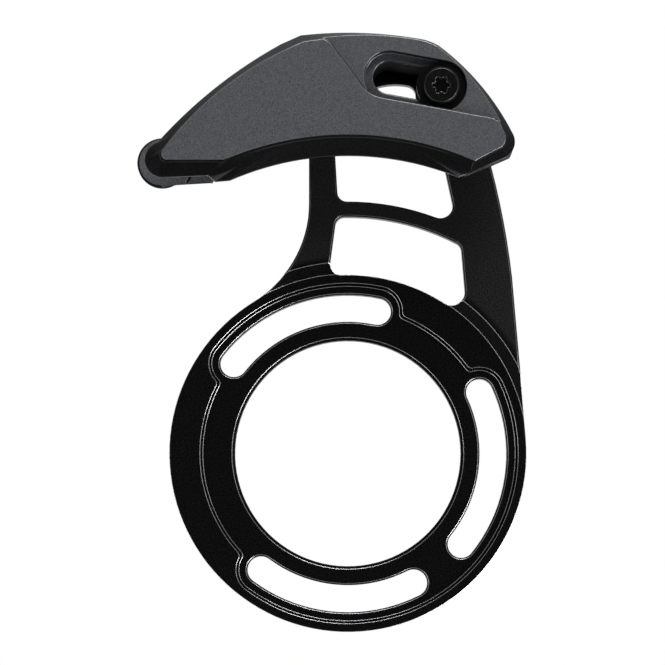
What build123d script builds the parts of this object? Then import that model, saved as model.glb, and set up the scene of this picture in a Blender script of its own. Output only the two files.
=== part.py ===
"""Bicycle chain guide: a dished back plate that bolts to the frame round the bottom
bracket, and a two-piece moulded cage that keeps the chain on the chainring.

Millimetres. The origin is the centre of the bore on the back face of the ring. X points
forward along the bicycle, Z up, and -Y outboard, so "out" below is a distance along -Y.
"""

import os
from math import acos, atan2, cos, degrees, hypot, radians, sin, sqrt

from build123d import *

os.makedirs("parts", exist_ok=True)

# Three arc slots for the frame's bolts, on the 56 mm bolt circle
bolt_circle_r = 28.0
slot_w = 5.2
slot_span = 63.6
slot_middles = (110.0, -7.0, -94.9)
slot_edge = 0.3

# Ring of the back plate, with a recess for the bolt heads
bore_inset = 6.25
bore_chamfer = 0.6
rim_out = 4.0
rim_w = 1.6
recess_depth = 1.0
recess_draft = 28.0
recess_step = 0.5
recess_corner = 1.3
head_room_r = 4.8

# Arms, which step outboard of the ring over a cone
arm_back_out = 2.5
arm_front_out = 6.0
ramp_start = 0.15
ramp_w = 2.2
back_ramp_start = 1.2
left_edge_x = -7.5
left_root_fillet = 22.0
right_knee = (31.65, 33.7)
right_upper = (27.7, 55.1)
right_top = (7.0, -10.9)
top_right_run = 2.4
arm_edge = 0.3

# Crossbars of the arms, concentric with the ring; the top one carries the cage's screw
crossbar_r_in = 45.5
crossbar_w = 2.95
top_bar_step = 0.88
top_bar_w = 4.55
top_left_fillet = 5.0
top_right_fillet = 6.0

# Sides of the two windows: x where each side meets the inner and the outer arc
lower_left_x = (-3.7, -2.2)
lower_right_x = (23.0, 21.8)
upper_left_x = (-1.9, -3.3)
upper_right_x = 21.15
upper_right_run = -2.25

# Corner radii of the windows: lower left, lower right, upper right, upper left
lower_rounds = (2.1, 2.5, 1.8, 1.8)
upper_rounds = (1.8, 2.4, 1.8, 11.7)

# Adjusting slot of the cage and what clamps it
adjust_x = 17.6
adjust_drop = 8.083
adjust_length = 9.9
adjust_slope = -10.4
adjust_r = 3.1
pocket_r = 4.75
pocket_depth = 2.2
pocket_edge = 0.2
adjust_edge = 0.15
boss_r = 4.5
boss_fillet = 1.95
thread_r = 2.0
thread_fit = 0.05
head_r = 3.5
head_h = 2.4
head_edge = 0.35
bolt_length = 20.0
bolt_tip = 0.4
socket_r = 1.75
lobe_r = 0.45
socket_depth = 1.5
flange_t = 1.0
bolt_clearance = 0.15
sleeve_fit = 0.1
sleeve_short = 0.3
slide_gap = 0.05

# Cage: levels and thicknesses
standoff = 4.0
inner_wall = 2.5
channel_w = 9.0
lip_t = 1.2
flank_h = 3.0
fin_h = 1.2
fin_edge = 0.3
fin_step = 0.9
fin_base_share = 0.88
standoff_wall = 2.6

# Cage: arcs concentric with the ring
cage_bottom_r = 55.65
cage_height = 23.4
inner_rise = 1.55
fin_rise = 3.75
roof_wall = 1.57

# Cage: noses where the chain leaves, their heights from the crown of the bottom arc
nose_at = (-35.1, -0.75)
nose_r = 3.4
nose_angles = (107.5, 188.75, 270.0)
inner_nose_at = (-35.6, -0.38)
inner_nose_r = 4.75
inner_heel = ((-32.9, -4.45), (-26.0, -4.05), (-24.0, -1.65))
lead_in = 0.4

# Slit across the face of the inner nose
slit_at = (-30.35, -3.4)
slit_w = 0.5
slit_length = 3.2
slit_lean = -35.0
slit_depth = 0.9

# Rear wall of the cage: how far its lower front edge stays above the lip's edge
rear_lift = 0.42

# Cage outline, lower points: heights from the crown of the bottom arc
bottom_x = (-22.4, 21.0)
heel = (-26.6, -3.75)
toe = (-25.2, -4.95)
front_low = (30.0, -0.2)
front_tip = (31.55, 2.15)
front_high = (31.1, 4.35)

# Cage outline, upper points: heights from the crown of the top arc
front_slope = (25.53, -10.48)
shoulder = (17.25, -2.5)
shoulder_round = (15.3, -1.6)
top_x = (-9.0, 13.0)
crown = (-12.75, -2.2)
back_slope = (-24.4, -9.9)

# Front face of the cage inside the flanks, from the bottom arc and then from the top arc
face_nose_top = (-34.9, 0.85)
face_nose_tip = (-35.2, -0.25)
face_nose_bottom = (-34.0, -1.05)
face_heel = (-24.6, -1.05)
face_toe = (-23.5, -1.05)
face_bottom_x = (-21.6, 23.9)
face_front_low = (29.0, 1.4)
face_front_tip = (29.65, 2.55)
face_front_high = (29.3, 4.3)
face_front_slope = (24.6, -10.85)
face_shoulder = (16.9, -3.05)
face_shoulder_round = (15.0, -2.2)
face_top = ((-5.4, -1.65), (12.9, -1.65))
face_top_middle = (4.0, -0.85)
face_crown = (-8.25, -2.05)
face_back_slope = (-21.3, -9.15)

# Fin: its edge beside the slot runs parallel to the slot
fin_to_slot = 4.2
fin_knee_run = 12.9
fin_knee_r = 5.5
fin_end_run = 10.9
fin_end_r = 2.4
fin_foot = (32.4, 4.0)
fin_crown_start = (-2.8, -2.65)
fin_crown = (-4.7, -1.3)

# Screws that join the two halves of the cage, their heights from the crown of the top arc
screw_at = ((-16.5, -8.75), (24.2, -13.75))
screw_r = 1.25
screw_head_r = 2.3
screw_head_h = 1.5
screw_recess = 0.3
screw_bite = 2.2
screw_fit = 0.1
screw_end_room = 0.3
cross_l = 2.4
cross_w = 0.6
cross_depth = 0.7

# Levels worked out from the sizes above
ledge_gap = slide_gap
standoff_out = arm_front_out + slide_gap
inner_back_out = standoff_out + standoff
channel_in_out = inner_back_out + inner_wall
channel_out_out = channel_in_out + channel_w
lip_out = channel_out_out + lip_t
fin_out = lip_out + flank_h
pad_out = fin_out - fin_h
ledge_out = pad_out - pocket_depth
flange_out = ledge_out + ledge_gap + flange_t
land_out = rim_out - recess_depth
screw_seat_depth = screw_recess + screw_head_h

# Radii and places worked out from the sizes above
ring_r = bolt_circle_r + head_room_r + rim_w
bore_r = bolt_circle_r - bore_inset
recess_floor_r = bolt_circle_r + recess_step
ramp_r = ring_r + ramp_start
back_ramp_r = ring_r + back_ramp_start
crossbar_r_out = crossbar_r_in + crossbar_w
cage_top_r = cage_bottom_r + cage_height
inner_bottom_r = cage_bottom_r + inner_rise
fin_bottom_r = cage_bottom_r + fin_rise
adjust_r_at = cage_top_r - adjust_drop
adjust_end = (adjust_x, sqrt(adjust_r_at**2 - adjust_x**2))
roof_r = adjust_r_at - adjust_r - roof_wall
top_bar_r_in = adjust_r_at + top_bar_step
top_bar_r_out = top_bar_r_in + top_bar_w
reach = 2 * top_bar_r_out
joined_start = slot_middles[2] - slot_span / 2
joined_span = slot_middles[1] + slot_span / 2 - joined_start
bevel = 45.0
fillet_share = 0.78
same = 0.001


def level(out):
    """Plane parallel to the ring, this far outboard of its back face."""
    return Plane.XZ.offset(out)


def polar(radius, angle):
    """Point on a circle about the bore, the angle in degrees."""
    return (radius * cos(radians(angle)), radius * sin(radians(angle)))


def on_arc(radius, x):
    """Point of the upper half of a circle about the bore at this x."""
    return (x, sqrt(radius**2 - x**2))


def low(point):
    """Point whose height is given from the crown of the cage's bottom arc."""
    return (point[0], cage_bottom_r + point[1])


def high(point):
    """Point whose height is given from the crown of the cage's top arc."""
    return (point[0], cage_top_r + point[1])


def arc_points(radius, x_from, x_to):
    """Start, middle and end of an arc about the bore from one x to another, over the top."""
    start = on_arc(radius, x_from)
    end = on_arc(radius, x_to)
    middle = (degrees(atan2(start[1], start[0])) + degrees(atan2(end[1], end[0]))) / 2
    return (start, polar(radius, middle), end)


def arc_about_bore(radius, x_from, x_to):
    """Arc about the bore from one x to another, over the top."""
    return ThreePointArc(*arc_points(radius, x_from, x_to))


def along_slot(distance, offset=0.0):
    """Point on the adjusting slot's line, measured back from its forward end."""
    run = (cos(radians(adjust_slope)), sin(radians(adjust_slope)))
    return (
        adjust_end[0] - distance * run[0] - offset * run[1],
        adjust_end[1] - distance * run[1] + offset * run[0],
    )


# Centre lines of the slots, drawn before the sketches that use them
slot_middle = along_slot(adjust_length / 2)
slot_lines = [
    CenterArc((0, 0), bolt_circle_r, middle - slot_span / 2, slot_span) for middle in slot_middles
]
joined_recess_line = CenterArc((0, 0), bolt_circle_r, joined_start, joined_span)


def adjusting_slot(radius, mode=Mode.ADD):
    """Slot profile of this end radius along the adjusting slot's line."""
    with Locations(slot_middle):
        SlotCenterToCenter(adjust_length, 2 * radius, rotation=adjust_slope, mode=mode)


def window(r_in, r_out, left, right, rounds):
    """Window between two arcs about the bore, with a radius for each corner."""
    foot = (on_arc(r_in, left[0]), on_arc(r_in, right[0]))
    head = (on_arc(r_out, right[1]), on_arc(r_out, left[1]))
    with BuildSketch(mode=Mode.PRIVATE) as opening:
        with BuildLine():
            arc_about_bore(r_in, left[0], right[0])
            Line(foot[1], head[0])
            arc_about_bore(r_out, right[1], left[1])
            Line(head[1], foot[0])
        make_face()
        for corner, radius in zip(foot + head, rounds):
            fillet(opening.vertices().sort_by_distance(corner)[0], radius)
    return opening.sketch


def arc_slots(width):
    """The three arc slots."""
    for line in slot_lines:
        SlotArc(line, width)


def around(centre, radius, angle):
    """Point on a circle about any centre, the angle in degrees."""
    return (centre[0] + radius * cos(radians(angle)), centre[1] + radius * sin(radians(angle)))


def at_distance(points, centre, radius):
    """The corners of a sketch that lie this far from a centre."""
    return points.filter_by(
        lambda point: abs(hypot(point.X - centre[0], point.Y - centre[1]) - radius) < same
    )


def room_beside(edges, corner):
    """Largest fillet that the shortest edge at a corner of a sketch has room for."""
    return fillet_share * min(edge.length for edge in edges if corner in edge.vertices())


def corners_of_recess(edges):
    """The slanting edges where the ends of the wide bands meet the round floor."""
    return edges.filter_by(
        lambda edge: edge.bounding_box().size.Y > recess_depth / 2
        and min(abs(hypot(v.X, v.Z) - recess_floor_r) for v in edge.vertices()) < same
    )


# Edges of the cage's outline in turn from the nose: a line has two points, an arc three
nose_arc = [around(low(nose_at), nose_r, angle) for angle in nose_angles]
bottom_arc = arc_points(cage_bottom_r, *bottom_x)
top_arc = arc_points(cage_top_r, top_x[1], top_x[0])
rim_edges = [
    nose_arc,
    (nose_arc[2], low(heel)),
    (low(heel), low(toe)),
    (low(toe), bottom_arc[0]),
    bottom_arc,
    (bottom_arc[2], low(front_low)),
    (low(front_low), low(front_tip), low(front_high)),
    (low(front_high), high(front_slope), high(shoulder)),
    (high(shoulder), high(shoulder_round), top_arc[0]),
    top_arc,
    (top_arc[2], high(crown)),
    (high(crown), high(back_slope), nose_arc[0]),
]

# Edges of the front face, one for each edge of the outline
face_bottom_arc = arc_points(fin_bottom_r, *face_bottom_x)
face_edges = [
    (low(face_nose_top), low(face_nose_tip), low(face_nose_bottom)),
    (low(face_nose_bottom), low(face_heel)),
    (low(face_heel), low(face_toe)),
    (low(face_toe), face_bottom_arc[0]),
    face_bottom_arc,
    (face_bottom_arc[2], low(face_front_low)),
    (low(face_front_low), low(face_front_tip), low(face_front_high)),
    (low(face_front_high), high(face_front_slope), high(face_shoulder)),
    (high(face_shoulder), high(face_shoulder_round), high(face_top[1])),
    (high(face_top[1]), high(face_top_middle), high(face_top[0])),
    (high(face_top[0]), high(face_crown)),
    (high(face_crown), high(face_back_slope), low(face_nose_top)),
]


def blend(start, end, share):
    """Point this share of the way from one point to another."""
    return tuple(a + share * (b - a) for a, b in zip(start, end))


def cage_section(share):
    """Profile of the cage between its outline, at 0, and its front face, at 1."""
    with BuildSketch(mode=Mode.PRIVATE) as region:
        with BuildLine():
            for rim_edge, face_edge in zip(rim_edges, face_edges):
                points = [blend(a, b, share) for a, b in zip(rim_edge, face_edge)]
                if len(points) == 2:
                    Line(*points)
                else:
                    ThreePointArc(*points)
        make_face()
    return region.sketch


def beyond_fin():
    """Everything above the fin's upper edge, which is where the pad lies."""
    knee = along_slot(fin_knee_run, -fin_to_slot)
    end = along_slot(-fin_end_run, -fin_to_slot)
    foot = low(fin_foot)
    crown_start = high(fin_crown_start)
    crown_end = high(fin_crown)
    far_x = foot[0] + pocket_r
    far_z = cage_top_r + pocket_r
    diagonal = (crown_start[0] - knee[0], crown_start[1] - knee[1])
    with BuildSketch(mode=Mode.PRIVATE) as region:
        with BuildLine():
            Line(end, knee)
            Line(knee, crown_start)
            TangentArc(crown_start, crown_end, tangent=diagonal)
            Polyline(
                crown_end,
                (crown_end[0], far_z),
                (far_x, far_z),
                (far_x, foot[1]),
                foot,
                end,
            )
        make_face()
        fillet(region.vertices().sort_by_distance(knee)[0], fin_knee_r)
        fillet(region.vertices().sort_by_distance(end)[0], fin_end_r)
    return region.sketch


# Back plate: plan extruded to full height, then cut to the dished section
screw_points = [high(point) for point in screw_at]
right_end = (adjust_x + right_top[0], top_bar_r_out + right_top[1])
top_right_x = adjust_x + top_right_run
knee_distance = hypot(*right_knee)
tangent_angle = degrees(atan2(right_knee[1], right_knee[0])) - degrees(acos(ring_r / knee_distance))
ring_tangent = polar(ring_r, tangent_angle)

with BuildPart() as back_plate:
    with BuildSketch(level(0)) as plan:
        with BuildLine():
            Line((left_edge_x, 0), on_arc(top_bar_r_out, left_edge_x))
            arc_about_bore(top_bar_r_out, left_edge_x, top_right_x)
            Line(on_arc(top_bar_r_out, top_right_x), right_end)
            ThreePointArc(right_end, right_upper, right_knee)
            Line(right_knee, ring_tangent)
            Line(ring_tangent, (left_edge_x, 0))
        make_face()
        corner_left = plan.vertices().sort_by_distance(on_arc(top_bar_r_out, left_edge_x))[0]
        fillet(corner_left, top_left_fillet)
        corner_right = plan.vertices().sort_by_distance(on_arc(top_bar_r_out, top_right_x))[0]
        fillet(corner_right, top_right_fillet)
        Circle(ring_r)
        root = plan.vertices().sort_by_distance(on_arc(ring_r, left_edge_x))[0]
        fillet(root, left_root_fillet)
        lower_window = window(ring_r, crossbar_r_in, lower_left_x, lower_right_x, lower_rounds)
        add(lower_window, mode=Mode.SUBTRACT)
        upper_right = (upper_right_x, adjust_x + upper_right_run)
        upper_window = window(crossbar_r_out, top_bar_r_in, upper_left_x, upper_right, upper_rounds)
        add(upper_window, mode=Mode.SUBTRACT)
        with Locations(adjust_end):
            Circle(boss_r)
        for boss_corner in at_distance(plan.vertices(), adjust_end, boss_r):
            corner = plan.vertices().sort_by_distance(boss_corner)[0]
            fillet(corner, min(boss_fillet, room_beside(plan.edges(), corner)))
    extrude(amount=arm_front_out - arm_edge)
    with BuildSketch(level(arm_front_out - arm_edge)) as arm_bevel:
        add(plan.sketch_local)
    extrude(amount=arm_edge, taper=bevel)
    with BuildSketch(Plane.XY) as dish:
        with BuildLine():
            Polyline(
                (0, 0),
                (back_ramp_r, 0),
                (back_ramp_r + arm_back_out, -arm_back_out),
                (reach, -arm_back_out),
                (reach, -arm_front_out),
                (ramp_r + ramp_w, -arm_front_out),
                (ramp_r, -rim_out),
                (0, -rim_out),
                close=True,
            )
        make_face()
    revolve(axis=Axis.Y, mode=Mode.INTERSECT)
    with BuildSketch(level(rim_out)) as recess:
        Circle(recess_floor_r)
        SlotArc(slot_lines[0], 2 * head_room_r)
        SlotArc(joined_recess_line, 2 * head_room_r)
    extrude(amount=-recess_depth, taper=recess_draft, mode=Mode.SUBTRACT)
    fillet(corners_of_recess(back_plate.edges(Select.LAST)), recess_corner)
    with BuildSketch(level(land_out)) as slots:
        arc_slots(slot_w)
    extrude(amount=-land_out, mode=Mode.SUBTRACT)
    with BuildSketch(level(land_out)) as slot_edges:
        arc_slots(slot_w + 2 * slot_edge)
    extrude(amount=-slot_edge, taper=bevel, mode=Mode.SUBTRACT)
    with BuildSketch(level(0)) as bores:
        Circle(bore_r)
        with Locations(adjust_end):
            Circle(thread_r + thread_fit)
    extrude(amount=arm_front_out, mode=Mode.SUBTRACT)
    bore_edges = back_plate.edges().filter_by(GeomType.CIRCLE)
    bore_edges = bore_edges.filter_by(lambda edge: abs(edge.radius - bore_r) < same)
    chamfer(bore_edges.sort_by(Axis.Y)[0], bore_chamfer)

back_plate.part.label = "back_plate"
export_step(back_plate.part, "parts/back_plate.step")

lower_front_edge = rim_edges[5]
edge_run = lower_front_edge[1][0] - lower_front_edge[0][0]
edge_slope = degrees(atan2(lower_front_edge[1][1] - lower_front_edge[0][1], edge_run))

# Inner half of the cage: rear wall, roof over the chain and standoff on the plate
with BuildPart() as inner_guide:
    with BuildSketch(level(inner_back_out)) as rear_wall:
        add(cage_section(0))
        Circle(inner_bottom_r, mode=Mode.SUBTRACT)
        with Locations(blend(*lower_front_edge, 0.5)):
            Rectangle(2 * edge_run, 2 * rear_lift, rotation=edge_slope, mode=Mode.SUBTRACT)
        with BuildLine():
            heel_end, heel_rise = low(inner_heel[1]), low(inner_heel[2])
            below = heel_end[1] - inner_nose_r
            Polyline(heel_end, heel_rise, (heel_rise[0], below), (heel_end[0], below), close=True)
        make_face(mode=Mode.SUBTRACT)
        with BuildLine():
            nose_low = around(low(inner_nose_at), inner_nose_r, nose_angles[-1])
            Polyline(nose_low, *map(low, inner_heel), low(inner_nose_at), close=True)
        make_face()
    extrude(amount=inner_wall)
    with BuildSketch(level(inner_back_out)) as nose:
        with Locations(low(inner_nose_at)):
            Circle(inner_nose_r)
    extrude(amount=inner_wall - lead_in)
    with BuildSketch(level(channel_in_out - lead_in)) as nose_lead_in:
        with Locations(low(inner_nose_at)):
            Circle(inner_nose_r)
    extrude(amount=lead_in, taper=bevel)
    with BuildSketch(level(channel_in_out)) as slit:
        with Locations(low(slit_at)):
            Rectangle(slit_w, slit_length, rotation=slit_lean)
    extrude(amount=-slit_depth, mode=Mode.SUBTRACT)
    with BuildSketch(level(channel_in_out)) as roof:
        add(cage_section(0))
        Circle(roof_r, mode=Mode.SUBTRACT)
        with Locations((-cage_top_r / 2, 0)):
            Rectangle(cage_top_r, 2 * roof_r, mode=Mode.SUBTRACT)
    extrude(amount=channel_w)
    with BuildSketch(level(standoff_out)) as standoff_boss:
        adjusting_slot(adjust_r + standoff_wall)
    extrude(amount=standoff)
    with BuildSketch(level(standoff_out)) as adjusting_cut:
        adjusting_slot(adjust_r)
    extrude(amount=channel_out_out - standoff_out, mode=Mode.SUBTRACT)
    with BuildSketch(level(inner_back_out)) as screw_holes:
        with Locations(screw_points):
            Circle(screw_r + screw_fit)
    extrude(amount=channel_out_out - inner_back_out, mode=Mode.SUBTRACT)
    with BuildSketch(level(inner_back_out)) as screw_seats:
        with Locations(screw_points):
            Circle(screw_head_r + screw_fit)
    extrude(amount=screw_seat_depth, mode=Mode.SUBTRACT)

inner_guide.part.label = "inner_guide"
export_step(inner_guide.part, "parts/inner_guide.step")

# Outer half of the cage: lip, flanks that rise to the fin, pad cut down beside it
with BuildPart() as outer_guide:
    with BuildSketch(level(channel_out_out)) as lip:
        add(cage_section(0))
    extrude(amount=lip_t)
    with BuildSketch(level(lip_out)) as flank_foot:
        add(cage_section(0))
    with BuildSketch(level(fin_out - fin_step)) as fin_base:
        add(cage_section(fin_base_share))
    with BuildSketch(level(fin_out)) as fin_head:
        add(cage_section(1))
    loft(ruled=True)
    with BuildSketch(level(fin_out)) as pad:
        add(beyond_fin())
    extrude(amount=-fin_h, mode=Mode.SUBTRACT)
    with BuildSketch(level(fin_out)) as fin_bevel:
        add(beyond_fin())
        offset(amount=fin_edge, kind=Kind.INTERSECTION)
    extrude(amount=-fin_edge, taper=bevel, mode=Mode.SUBTRACT)
    with BuildSketch(level(pad_out)) as pocket:
        add(beyond_fin())
        adjusting_slot(pocket_r, mode=Mode.INTERSECT)
    extrude(amount=-pocket_depth, mode=Mode.SUBTRACT)
    with BuildSketch(level(pad_out)) as pocket_bevel:
        add(beyond_fin())
        adjusting_slot(pocket_r + pocket_edge, mode=Mode.INTERSECT)
    extrude(amount=-pocket_edge, taper=bevel, mode=Mode.SUBTRACT)
    with BuildSketch(level(channel_out_out)) as adjusting_through:
        adjusting_slot(adjust_r)
    extrude(amount=fin_out - channel_out_out, mode=Mode.SUBTRACT)
    with BuildSketch(level(ledge_out)) as adjusting_bevel:
        adjusting_slot(adjust_r + adjust_edge)
    extrude(amount=-adjust_edge, taper=bevel, mode=Mode.SUBTRACT)
    with BuildSketch(level(channel_out_out)) as screw_bosses:
        with Locations(screw_points):
            Circle(screw_r + thread_fit)
    extrude(amount=screw_bite + screw_end_room, mode=Mode.SUBTRACT)

outer_guide.part.label = "outer_guide"
export_step(outer_guide.part, "parts/outer_guide.step")

# Flanged sleeve in the slot: its flange has a flat along the fin
with BuildPart() as clamp_sleeve:
    with BuildSketch(level(arm_front_out + sleeve_short)) as barrel:
        with Locations(adjust_end):
            Circle(adjust_r - sleeve_fit)
    extrude(amount=flange_out - arm_front_out - sleeve_short)
    with BuildSketch(level(ledge_out + ledge_gap)) as flange:
        with Locations(adjust_end):
            Circle(pocket_r - sleeve_fit)
        with Locations(along_slot(0, -fin_to_slot + sleeve_fit - pocket_r / 2)):
            Rectangle(3 * pocket_r, pocket_r, rotation=adjust_slope, mode=Mode.SUBTRACT)
    extrude(amount=flange_t)
    with BuildSketch(level(arm_front_out)) as sleeve_bore:
        with Locations(adjust_end):
            Circle(thread_r + bolt_clearance)
    extrude(amount=flange_out - arm_front_out, mode=Mode.SUBTRACT)

clamp_sleeve.part.label = "clamp_sleeve"
export_step(clamp_sleeve.part, "parts/clamp_sleeve.step")

# Clamping screw with a six-lobe socket, threaded into the plate
with BuildPart() as clamp_bolt:
    with BuildSketch(level(flange_out - bolt_length)) as shank:
        with Locations(adjust_end):
            Circle(thread_r)
    extrude(amount=bolt_length)
    chamfer(clamp_bolt.edges().sort_by(Axis.Y)[-1], bolt_tip)
    with BuildSketch(level(flange_out)) as head:
        with Locations(adjust_end):
            Circle(head_r)
    extrude(amount=head_h)
    chamfer(clamp_bolt.edges().sort_by(Axis.Y)[0], head_edge)
    with BuildSketch(level(flange_out + head_h)) as socket:
        with Locations(adjust_end):
            Circle(socket_r - lobe_r)
            with PolarLocations(socket_r - lobe_r, 6):
                Circle(lobe_r)
    extrude(amount=-socket_depth, mode=Mode.SUBTRACT)

clamp_bolt.part.label = "clamp_bolt"
export_step(clamp_bolt.part, "parts/clamp_bolt.step")

# Two screws from the back, which hold the halves of the cage together
with BuildPart() as joining_screws:
    with BuildSketch(level(inner_back_out + screw_seat_depth)) as screw_shanks:
        with Locations(screw_points):
            Circle(screw_r)
    extrude(amount=channel_out_out + screw_bite - inner_back_out - screw_seat_depth)
    with BuildSketch(level(inner_back_out + screw_seat_depth)) as screw_heads:
        with Locations(screw_points):
            Circle(screw_head_r)
    extrude(amount=-screw_head_h)
    with BuildSketch(level(inner_back_out + screw_recess)) as crosses:
        with Locations(screw_points):
            Rectangle(cross_l, cross_w)
            Rectangle(cross_w, cross_l)
    extrude(amount=cross_depth, mode=Mode.SUBTRACT)

joining_screws.part.label = "joining_screws"
export_step(joining_screws.part, "parts/joining_screws.step")
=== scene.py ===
"""Bicycle chain guide: the looks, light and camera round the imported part, in metres."""

from math import cos, pi, radians, sin

import bpy
from mathutils import Matrix, Vector


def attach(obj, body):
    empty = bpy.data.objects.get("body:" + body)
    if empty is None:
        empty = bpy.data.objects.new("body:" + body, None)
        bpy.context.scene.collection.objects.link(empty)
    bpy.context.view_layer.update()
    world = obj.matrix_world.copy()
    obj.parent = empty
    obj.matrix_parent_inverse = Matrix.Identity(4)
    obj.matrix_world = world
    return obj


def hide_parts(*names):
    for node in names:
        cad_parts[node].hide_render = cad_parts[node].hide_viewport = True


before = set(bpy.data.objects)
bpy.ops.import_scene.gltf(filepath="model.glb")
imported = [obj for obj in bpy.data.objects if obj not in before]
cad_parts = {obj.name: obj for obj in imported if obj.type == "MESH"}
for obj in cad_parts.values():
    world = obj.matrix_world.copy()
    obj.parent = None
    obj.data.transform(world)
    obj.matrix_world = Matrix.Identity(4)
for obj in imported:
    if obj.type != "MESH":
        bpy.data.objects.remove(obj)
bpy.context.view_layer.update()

MM = 0.001

# Camera: a long lens in front of the guide, looking up a little
CAMERA_AT = Vector((-2.96, -898.3, -31.45)) * MM
CAMERA_UP = 3.5
LENS = 251.5
SENSOR = 36.0

# Rounding that the light sees along the edges of each material
PLATE_ROUND = 0.15 * MM
CAGE_ROUND = 0.25 * MM
STEEL_ROUND = 0.1 * MM

# Where an edge begins and is full: cosine between the rounded and the face's own normal
EDGE_FROM = 0.998
EDGE_FULL = 0.97

# Where a face of the cage begins to count as flat, and does fully: cosine to the front
FLAT_FROM = 0.93
FLAT_FULL = 0.985

# Studio
FLOOR_Z = -0.9
FLOOR_SIZE = 3.0
FLOOR_WHITE = 0.96
FLOOR_DARK = (0.86, 0.86, 0.86)
FLOOR_LIGHT = (0.9, 0.9, 0.9)
ROOM_LIGHT = 0.2
AIM = Vector((0.0, -0.012, 0.03))

# Soft boxes: place and brightness. The fills light the guide but don't show in its gloss
BOX_WIDTH = 0.6
BOX_HEIGHT = 0.4
KEY_BOX = ((0.25, -0.8, 0.85), 10.0)
FILL_BOXES = {
    "back_top": ((0.1, 0.8, 0.85), 20.0),
    "top": ((0.0, -0.1, 0.9), 26.0),
    "front_right": ((0.65, -0.45, -0.35), 4.2),
}

# Wide lights beside the guide, which only its glossy edges show:
# angle from +X towards +Z, width, place along Y, brightness
EDGE_LIGHT_AWAY = 0.75
EDGE_LIGHT_LONG = 0.7
EDGE_LIGHTS = {
    "above": (88.0, 0.65, -0.4, 13.0),
    "low_right": (320.0, 0.65, -0.47, 21.0),
    "low_left": (210.0, 0.9, -0.47, 4.5),
    "right": (5.0, 0.5, -0.4, 2.5),
}

# Tones: a dark and a light grey that the grain mixes, and bare metal along the edges
RING_TONES = (0.0, 0.007)
# The arms are lighter than the ring; part of that is painted light that offsets the shade the cage
# casts on them
ARM_TONES_WITH_PAINTED_LIGHT = (0.004, 0.023)
RING_BARE = (0.23, 0.23, 0.233)
ARM_BARE = (0.09, 0.09, 0.092)
SIDE_TONES = (0.003, 0.01)
FACE_DARK = (0.028, 0.0285, 0.0315)
FACE_LIGHT = (0.114, 0.116, 0.127)
OXIDE_TONES = (0.0015, 0.0045)
BOLT_BARE = 0.055
SLEEVE_BARE = 0.02

# The ring ends and the arms begin this far from the bore's axis
ARMS_FROM = 37.2 * MM
ARMS_FULL = 38.2 * MM

# The cage's sides are smooth and dark, with painted light that makes them a little greyer towards
# the top, as if lit from above
PAINTED_TOP_LIGHT_FROM = 55.0 * MM
PAINTED_TOP_LIGHT_FULL = 79.0 * MM
PAINTED_TOP_LIGHT_SHARE = 0.18

# Screws that join the halves of the cage, each placed at the seat of its head
SCREW_SEATS = ((-16.5, -11.85, 70.3), (24.2, -11.85, 65.3))
SCREW_SIZES = {
    "Head radius": 2.3 * MM,
    "Head top radius": 2.12 * MM,
    "Head height": 1.5 * MM,
    "Shank radius": 1.25 * MM,
    "Shank length": 11.9 * MM,
    "Cross length": 2.4 * MM,
    "Cross width": 0.6 * MM,
    "Cross depth": 0.7 * MM,
}

# Middle of a shank below its head, as a share of its length: the shank ends inside the head
SHANK_MIDDLE = -0.48


def link(thing):
    """Put an object in the scene and give it back."""
    bpy.context.scene.collection.objects.link(thing)
    return thing


def node(tree, kind, values=None, **settings):
    """Add a node, set its options and the values of its sockets."""
    made = tree.nodes.new(kind)
    for name, value in settings.items():
        setattr(made, name, value)
    for socket, value in (values or {}).items():
        made.inputs[socket].default_value = value
    return made


def new_material(name, **shader_values):
    """A material with its shader's constants set, and the object's coordinates."""
    material = bpy.data.materials.new(name)
    material.use_nodes = True
    tree = material.node_tree
    shader = tree.nodes["Principled BSDF"]
    for socket, value in shader_values.items():
        shader.inputs[socket.replace("_", " ")].default_value = value
    place = node(tree, "ShaderNodeTexCoord").outputs["Object"]
    return material, tree, shader, place


def mottle(tree, shader, place, dark, light, scale, spread):
    """Vary the colour a little between two tones over the surface."""
    cloud = node(tree, "ShaderNodeTexNoise", {"Scale": scale, "Detail": 4.0, "Roughness": 0.6})
    ramp = node(tree, "ShaderNodeValToRGB")
    ramp.color_ramp.elements[0].position = 0.5 - spread
    ramp.color_ramp.elements[0].color = (*dark, 1)
    ramp.color_ramp.elements[1].position = 0.5 + spread
    ramp.color_ramp.elements[1].color = (*light, 1)
    tree.links.new(place, cloud.inputs["Vector"])
    tree.links.new(cloud.outputs["Fac"], ramp.inputs["Fac"])
    tree.links.new(ramp.outputs["Color"], shader.inputs["Base Color"])


def uneven_gloss(tree, shader, place, scale, smooth, rough):
    """Let the roughness drift between two values."""
    cloud = node(tree, "ShaderNodeTexNoise", {"Scale": scale, "Detail": 3.0})
    gloss = node(tree, "ShaderNodeMapRange", {"To Min": smooth, "To Max": rough})
    tree.links.new(place, cloud.inputs["Vector"])
    tree.links.new(cloud.outputs["Fac"], gloss.inputs["Value"])
    tree.links.new(gloss.outputs["Result"], shader.inputs["Roughness"])


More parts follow.
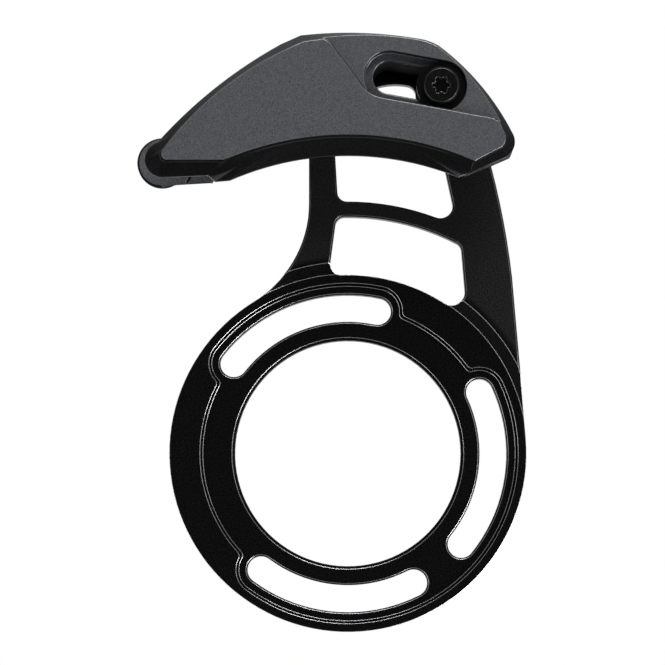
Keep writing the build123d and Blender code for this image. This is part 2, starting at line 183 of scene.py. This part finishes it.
def grain(tree, shader, place, scale, strength, depth, edge_round):
    """Fine raised grain on the surface, with the edges softened; gives where the edges are."""
    cloud = node(tree, "ShaderNodeTexNoise", {"Scale": scale, "Detail": 2.0, "Roughness": 0.55})
    soft_edge = node(tree, "ShaderNodeBevel", {"Radius": edge_round}, samples=8)
    bump = node(tree, "ShaderNodeBump", {"Strength": strength, "Distance": depth})
    tree.links.new(place, cloud.inputs["Vector"])
    tree.links.new(cloud.outputs["Fac"], bump.inputs["Height"])
    tree.links.new(soft_edge.outputs["Normal"], bump.inputs["Normal"])
    tree.links.new(bump.outputs["Normal"], shader.inputs["Normal"])

    face = node(tree, "ShaderNodeNewGeometry")
    together = node(tree, "ShaderNodeVectorMath", operation="DOT_PRODUCT")
    at_edge = node(
        tree, "ShaderNodeMapRange", {"From Min": EDGE_FROM, "From Max": EDGE_FULL}
    )
    tree.links.new(soft_edge.outputs["Normal"], together.inputs[0])
    tree.links.new(face.outputs["Normal"], together.inputs[1])
    tree.links.new(together.outputs["Value"], at_edge.inputs["Value"])
    return bump, at_edge.outputs["Result"]


def two_tones(tree, tones, scale, spread):
    """Colour that varies finely between two greys over the surface."""
    dark, light = tones
    place = node(tree, "ShaderNodeTexCoord").outputs["Object"]
    cloud = node(tree, "ShaderNodeTexNoise", {"Scale": scale, "Detail": 3.0, "Roughness": 0.6})
    ramp = node(tree, "ShaderNodeValToRGB")
    ramp.color_ramp.elements[0].position = 0.5 - spread
    ramp.color_ramp.elements[0].color = (dark, dark, 1.05 * dark, 1)
    ramp.color_ramp.elements[1].position = 0.5 + spread
    ramp.color_ramp.elements[1].color = (light, light, 1.05 * light, 1)
    tree.links.new(place, cloud.inputs["Vector"])
    tree.links.new(cloud.outputs["Fac"], ramp.inputs["Fac"])
    return ramp.outputs["Color"]


def between(tree, share, first, second):
    """Colour mixed from two others by a share."""
    mix = node(tree, "ShaderNodeMix", data_type="RGBA")
    tree.links.new(share, mix.inputs["Factor"])
    for socket, colour in (("A", first), ("B", second)):
        if isinstance(colour, tuple):
            mix.inputs[socket].default_value = (*colour, 1)
        else:
            tree.links.new(colour, mix.inputs[socket])
    return mix.outputs["Result"]


def anodised_black():
    """Aluminium anodised black: a machined ring with bright edges, and lighter arms whose tone is
    partly painted light that offsets the shade the cage casts on them.
    """
    material, tree, shader, place = new_material("anodised_black", Specular_IOR_Level=0.014)
    off_axis = node(tree, "ShaderNodeVectorMath", {1: (1.0, 0.0, 1.0)}, operation="MULTIPLY")
    distance = node(tree, "ShaderNodeVectorMath", operation="LENGTH")
    arms = node(tree, "ShaderNodeMapRange", {"From Min": ARMS_FROM, "From Max": ARMS_FULL})
    tree.links.new(place, off_axis.inputs[0])
    tree.links.new(off_axis.outputs["Vector"], distance.inputs[0])
    tree.links.new(distance.outputs["Value"], arms.inputs["Value"])
    on_arms = arms.outputs["Result"]

    machined = two_tones(tree, RING_TONES, scale=4000.0, spread=0.12)
    # Painted light: the arms' tone is lifted partly to offset the cage's shadow on them
    arm_coating_with_painted_light = two_tones(tree, ARM_TONES_WITH_PAINTED_LIGHT, scale=4000.0, spread=0.14)
    coating = between(tree, on_arms, machined, arm_coating_with_painted_light)
    bare = between(tree, on_arms, RING_BARE, ARM_BARE)
    uneven_gloss(tree, shader, place, scale=400.0, smooth=0.18, rough=0.26)
    _, at_edge = grain(
        tree, shader, place, scale=6500.0, strength=0.1, depth=0.02 * MM, edge_round=PLATE_ROUND
    )
    tree.links.new(between(tree, at_edge, coating, bare), shader.inputs["Base Color"])
    tree.links.new(at_edge, shader.inputs["Metallic"])
    return material


def moulded_plastic(name, side_rough, edge_gloss):
    """Dark plastic: fine grey grain on its flat faces, smooth dark sides with painted light
    greying them towards the top, polished edges.
    """
    material, tree, shader, place = new_material(
        name, Specular_IOR_Level=0.008, Coat_Roughness=0.2, Coat_IOR=1.5
    )
    turned = node(tree, "ShaderNodeTexCoord").outputs["Normal"]
    squareness = node(tree, "ShaderNodeVectorMath", {1: (0.0, -1.0, 0.0)}, operation="DOT_PRODUCT")
    both_ways = node(tree, "ShaderNodeMath", operation="ABSOLUTE")
    flat = node(tree, "ShaderNodeMapRange", {"From Min": FLAT_FROM, "From Max": FLAT_FULL})
    tree.links.new(turned, squareness.inputs[0])
    tree.links.new(squareness.outputs["Value"], both_ways.inputs[0])
    tree.links.new(both_ways.outputs[0], flat.inputs["Value"])

    speckle = node(tree, "ShaderNodeTexNoise", {"Scale": 5000.0, "Detail": 3.0, "Roughness": 0.7})
    grey = node(tree, "ShaderNodeValToRGB")
    grey.color_ramp.elements[0].position = 0.3
    grey.color_ramp.elements[0].color = (*FACE_DARK, 1)
    grey.color_ramp.elements[1].position = 0.7
    grey.color_ramp.elements[1].color = (*FACE_LIGHT, 1)
    tree.links.new(place, speckle.inputs["Vector"])
    tree.links.new(speckle.outputs["Fac"], grey.inputs["Fac"])
    smooth = two_tones(tree, SIDE_TONES, scale=3000.0, spread=0.2)
    # Painted light: higher up, the sides are mixed a little towards the faces' grey, as if lit
    # from above
    axes = node(tree, "ShaderNodeSeparateXYZ")
    painted_top_light = node(
        tree,
        "ShaderNodeMapRange",
        {"From Min": PAINTED_TOP_LIGHT_FROM, "From Max": PAINTED_TOP_LIGHT_FULL, "To Max": PAINTED_TOP_LIGHT_SHARE},
    )
    tree.links.new(place, axes.inputs["Vector"])
    tree.links.new(axes.outputs["Z"], painted_top_light.inputs["Value"])
    sides = between(tree, painted_top_light.outputs["Result"], smooth, grey.outputs["Color"])
    tone = between(tree, flat.outputs["Result"], sides, grey.outputs["Color"])
    tree.links.new(tone, shader.inputs["Base Color"])

    gloss = node(tree, "ShaderNodeMapRange", {"To Min": side_rough, "To Max": 0.55})
    tree.links.new(flat.outputs["Result"], gloss.inputs["Value"])
    tree.links.new(gloss.outputs["Result"], shader.inputs["Roughness"])
    bump, at_edge = grain(
        tree, shader, place, scale=3800.0, strength=0.3, depth=0.03 * MM, edge_round=CAGE_ROUND
    )
    raised = node(tree, "ShaderNodeMapRange", {"To Min": 0.05, "To Max": 0.3})
    tree.links.new(flat.outputs["Result"], raised.inputs["Value"])
    tree.links.new(raised.outputs["Result"], bump.inputs["Strength"])
    polished = node(tree, "ShaderNodeMath", {1: edge_gloss}, operation="MULTIPLY")
    tree.links.new(at_edge, polished.inputs[0])
    tree.links.new(polished.outputs[0], shader.inputs["Coat Weight"])
    tree.links.new(bump.outputs["Normal"], shader.inputs["Coat Normal"])
    return material


def blackened_steel(name, bare_grey):
    """Steel with a black oxide finish, slightly oily, rubbed along its edges."""
    material, tree, shader, place = new_material(name, Specular_IOR_Level=0.03)
    oxide = two_tones(tree, OXIDE_TONES, scale=1500.0, spread=0.25)
    bare = (bare_grey, bare_grey, 1.03 * bare_grey)
    uneven_gloss(tree, shader, place, scale=900.0, smooth=0.22, rough=0.3)
    _, at_edge = grain(
        tree, shader, place, scale=5000.0, strength=0.08, depth=0.02 * MM, edge_round=STEEL_ROUND
    )
    tree.links.new(between(tree, at_edge, oxide, bare), shader.inputs["Base Color"])
    tree.links.new(at_edge, shader.inputs["Metallic"])
    return material


def screw_tree(finish):
    """Node tree that sets a cross-head screw on each point, its head facing inboard."""
    tree = bpy.data.node_groups.new("cross_head_screws", "GeometryNodeTree")
    sockets = tree.interface
    sockets.new_socket("Seats", in_out="INPUT", socket_type="NodeSocketGeometry")
    for name in SCREW_SIZES:
        sockets.new_socket(name, in_out="INPUT", socket_type="NodeSocketFloat")
    sockets.new_socket("Screws", in_out="OUTPUT", socket_type="NodeSocketGeometry")
    given = node(tree, "NodeGroupInput")
    made = node(tree, "NodeGroupOutput")

    head = node(tree, "GeometryNodeMeshCone", {"Vertices": 64})
    tree.links.new(given.outputs["Head radius"], head.inputs["Radius Bottom"])
    tree.links.new(given.outputs["Head top radius"], head.inputs["Radius Top"])
    tree.links.new(given.outputs["Head height"], head.inputs["Depth"])

    shank = node(tree, "GeometryNodeMeshCylinder", {"Vertices": 48})
    shank_middle = node(tree, "ShaderNodeMath", {1: SHANK_MIDDLE}, operation="MULTIPLY")
    shank_place = node(tree, "ShaderNodeCombineXYZ")
    shank_set = node(tree, "GeometryNodeTransform")
    tree.links.new(given.outputs["Shank radius"], shank.inputs["Radius"])
    tree.links.new(given.outputs["Shank length"], shank.inputs["Depth"])
    tree.links.new(given.outputs["Shank length"], shank_middle.inputs[0])
    tree.links.new(shank_middle.outputs[0], shank_place.inputs["Z"])
    tree.links.new(shank.outputs["Mesh"], shank_set.inputs["Geometry"])
    tree.links.new(shank_place.outputs[0], shank_set.inputs["Translation"])

    blank = node(tree, "GeometryNodeMeshBoolean", operation="UNION", solver="EXACT")
    tree.links.new(head.outputs["Mesh"], blank.inputs["Mesh 2"])
    tree.links.new(shank_set.outputs["Geometry"], blank.inputs["Mesh 2"])

    deep = node(tree, "ShaderNodeMath", {1: 2.0}, operation="MULTIPLY")
    cut_place = node(tree, "ShaderNodeCombineXYZ")
    tree.links.new(given.outputs["Cross depth"], deep.inputs[0])
    tree.links.new(given.outputs["Head height"], cut_place.inputs["Z"])
    cross = node(tree, "GeometryNodeMeshBoolean", operation="UNION", solver="EXACT")
    for first, second in (("Cross length", "Cross width"), ("Cross width", "Cross length")):
        sides = node(tree, "ShaderNodeCombineXYZ")
        bar = node(tree, "GeometryNodeMeshCube")
        tree.links.new(given.outputs[first], sides.inputs["X"])
        tree.links.new(given.outputs[second], sides.inputs["Y"])
        tree.links.new(deep.outputs[0], sides.inputs["Z"])
        tree.links.new(sides.outputs[0], bar.inputs["Size"])
        tree.links.new(bar.outputs["Mesh"], cross.inputs["Mesh 2"])
    cut_set = node(tree, "GeometryNodeTransform")
    tree.links.new(cross.outputs["Mesh"], cut_set.inputs["Geometry"])
    tree.links.new(cut_place.outputs[0], cut_set.inputs["Translation"])
    screw = node(tree, "GeometryNodeMeshBoolean", operation="DIFFERENCE", solver="EXACT")
    tree.links.new(blank.outputs["Mesh"], screw.inputs["Mesh 1"])
    tree.links.new(cut_set.outputs["Geometry"], screw.inputs["Mesh 2"])

    driven = node(tree, "GeometryNodeInstanceOnPoints", {"Rotation": (radians(-90), 0, 0)})
    solid = node(tree, "GeometryNodeRealizeInstances")
    dressed = node(tree, "GeometryNodeSetMaterial", {"Material": finish})
    tree.links.new(given.outputs["Seats"], driven.inputs["Points"])
    tree.links.new(screw.outputs["Mesh"], driven.inputs["Instance"])
    tree.links.new(driven.outputs["Instances"], solid.inputs["Geometry"])
    tree.links.new(solid.outputs["Geometry"], dressed.inputs["Geometry"])
    tree.links.new(dressed.outputs["Geometry"], made.inputs["Screws"])
    return tree


def joining_screws(finish):
    """The two screws behind the cage, as one piece."""
    seats = bpy.data.meshes.new("screw_seats")
    seats.from_pydata([[c * MM for c in seat] for seat in SCREW_SEATS], [], [])
    layout = link(bpy.data.objects.new("screw_seats", seats))
    tree = screw_tree(finish)
    setting = layout.modifiers.new("screws", "NODES")
    setting.node_group = tree
    for socket in tree.interface.items_tree:
        if socket.name in SCREW_SIZES:
            setting[socket.identifier] = SCREW_SIZES[socket.name]
    ready = layout.evaluated_get(bpy.context.evaluated_depsgraph_get())
    mesh = bpy.data.meshes.new_from_object(ready)
    layout.modifiers.remove(setting)
    bpy.data.objects.remove(layout)
    pair = link(bpy.data.objects.new("cross_head_screws", mesh))
    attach(pair, "guide")
    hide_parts("joining_screws")


def dress(node_name, material):
    """Give a node of the model its material."""
    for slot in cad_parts[node_name].material_slots:
        slot.material = material


def turned_to(aim, along):
    """Rotation of a lamp that shines along one direction, its long side along another."""
    back = -aim.normalized()
    across = along.cross(back).normalized()
    return Matrix((across, along, back)).transposed().to_euler()


def softbox(name, place, width, height, radiance):
    """An area lamp of this brightness, turned to the guide and unseen by the camera."""
    lamp = bpy.data.lights.new(name, "AREA")
    lamp.shape = "RECTANGLE"
    lamp.size = width
    lamp.size_y = height
    lamp.energy = radiance * pi * width * height
    box = link(bpy.data.objects.new(name, lamp))
    box.location = place
    box.rotation_euler = (AIM - Vector(place)).to_track_quat("-Z", "Y").to_euler()
    box.visible_camera = False
    return box


def seen_directly(tree):
    """One where the camera, a reflection or a clear piece sees the surface, else zero."""
    ray = node(tree, "ShaderNodeLightPath")
    seen = node(tree, "ShaderNodeMath", operation="MAXIMUM")
    seen_too = node(tree, "ShaderNodeMath", operation="MAXIMUM")
    tree.links.new(ray.outputs["Is Camera Ray"], seen.inputs[0])
    tree.links.new(ray.outputs["Is Glossy Ray"], seen.inputs[1])
    tree.links.new(seen.outputs[0], seen_too.inputs[0])
    tree.links.new(ray.outputs["Is Transmission Ray"], seen_too.inputs[1])
    return seen_too.outputs[0]


def white_room():
    """Surroundings that look white but give the guide only a little light."""
    world = bpy.data.worlds.new("studio")
    bpy.context.scene.world = world
    world.use_nodes = True
    tree = world.node_tree
    tree.nodes.clear()
    white = node(tree, "ShaderNodeBackground", {"Color": (1, 1, 1, 1), "Strength": 1.0})
    room = node(tree, "ShaderNodeBackground", {"Color": (1, 1, 1, 1), "Strength": ROOM_LIGHT})
    mix = node(tree, "ShaderNodeMixShader")
    out = node(tree, "ShaderNodeOutputWorld")
    tree.links.new(seen_directly(tree), mix.inputs["Fac"])
    tree.links.new(room.outputs[0], mix.inputs[1])
    tree.links.new(white.outputs[0], mix.inputs[2])
    tree.links.new(mix.outputs[0], out.inputs["Surface"])


def pale_floor():
    """A plain floor well below the guide."""
    floor_mesh = bpy.data.meshes.new("floor")
    half = FLOOR_SIZE / 2
    corners = [(-half, -half), (half, -half), (half, half), (-half, half)]
    floor_mesh.from_pydata([(x, y, FLOOR_Z) for x, y in corners], [], [(0, 1, 2, 3)])
    floor = link(bpy.data.objects.new("floor", floor_mesh))
    pale, tree, shader, place = new_material("pale_floor", Roughness=0.9, Specular_IOR_Level=0.1)
    mottle(tree, shader, place, FLOOR_DARK, FLOOR_LIGHT, scale=6.0, spread=0.3)
    bright = node(tree, "ShaderNodeEmission", {"Color": (1, 1, 1, 1), "Strength": 1.0})
    share = node(tree, "ShaderNodeMath", {1: FLOOR_WHITE}, operation="MULTIPLY")
    mix = node(tree, "ShaderNodeMixShader")
    tree.links.new(seen_directly(tree), share.inputs[0])
    tree.links.new(share.outputs[0], mix.inputs["Fac"])
    tree.links.new(shader.outputs["BSDF"], mix.inputs[1])
    tree.links.new(bright.outputs["Emission"], mix.inputs[2])
    tree.links.new(mix.outputs[0], tree.nodes["Material Output"].inputs["Surface"])
    floor_mesh.materials.append(pale)


def soft_boxes():
    """The lamps: in front, behind and above, and those for the edges."""
    place, radiance = KEY_BOX
    softbox("box_front_top", place, BOX_WIDTH, BOX_HEIGHT, radiance)
    for name, (place, radiance) in FILL_BOXES.items():
        fill = softbox("box_" + name, place, BOX_WIDTH, BOX_HEIGHT, radiance)
        fill.visible_glossy = False
    for name, (angle, width, along, radiance) in EDGE_LIGHTS.items():
        side = Vector((cos(radians(angle)), 0.0, sin(radians(angle))))
        middle = AIM + side * EDGE_LIGHT_AWAY + Vector((0.0, along, 0.0))
        strip = softbox("box_" + name, middle, width, EDGE_LIGHT_LONG, radiance)
        strip.rotation_euler = turned_to(-side, Vector((0.0, 1.0, 0.0)))
        strip.visible_diffuse = False


def photographer():
    """The camera at the photograph's place and angle."""
    camera = bpy.data.cameras.new("camera")
    camera.lens = LENS
    camera.sensor_width = SENSOR
    camera.clip_start = 0.05
    camera.clip_end = 20.0
    stand = link(bpy.data.objects.new("camera", camera))
    stand.location = CAMERA_AT
    stand.rotation_euler = (radians(90 + CAMERA_UP), 0, 0)
    bpy.context.scene.camera = stand


photographer()
white_room()
pale_floor()
soft_boxes()
bpy.context.scene.view_settings.view_transform = "Standard"

plate_finish = anodised_black()
cage_finish = moulded_plastic("moulded_plastic", side_rough=0.34, edge_gloss=1.0)
rear_cage_finish = moulded_plastic("moulded_plastic_rear", side_rough=0.6, edge_gloss=0.2)
bolt_finish = blackened_steel("blackened_bolt", BOLT_BARE)
sleeve_finish = blackened_steel("blackened_sleeve", SLEEVE_BARE)
dress("back_plate", plate_finish)
dress("inner_guide", rear_cage_finish)
dress("outer_guide", cage_finish)
dress("clamp_bolt", bolt_finish)
dress("clamp_sleeve", sleeve_finish)
joining_screws(bolt_finish)
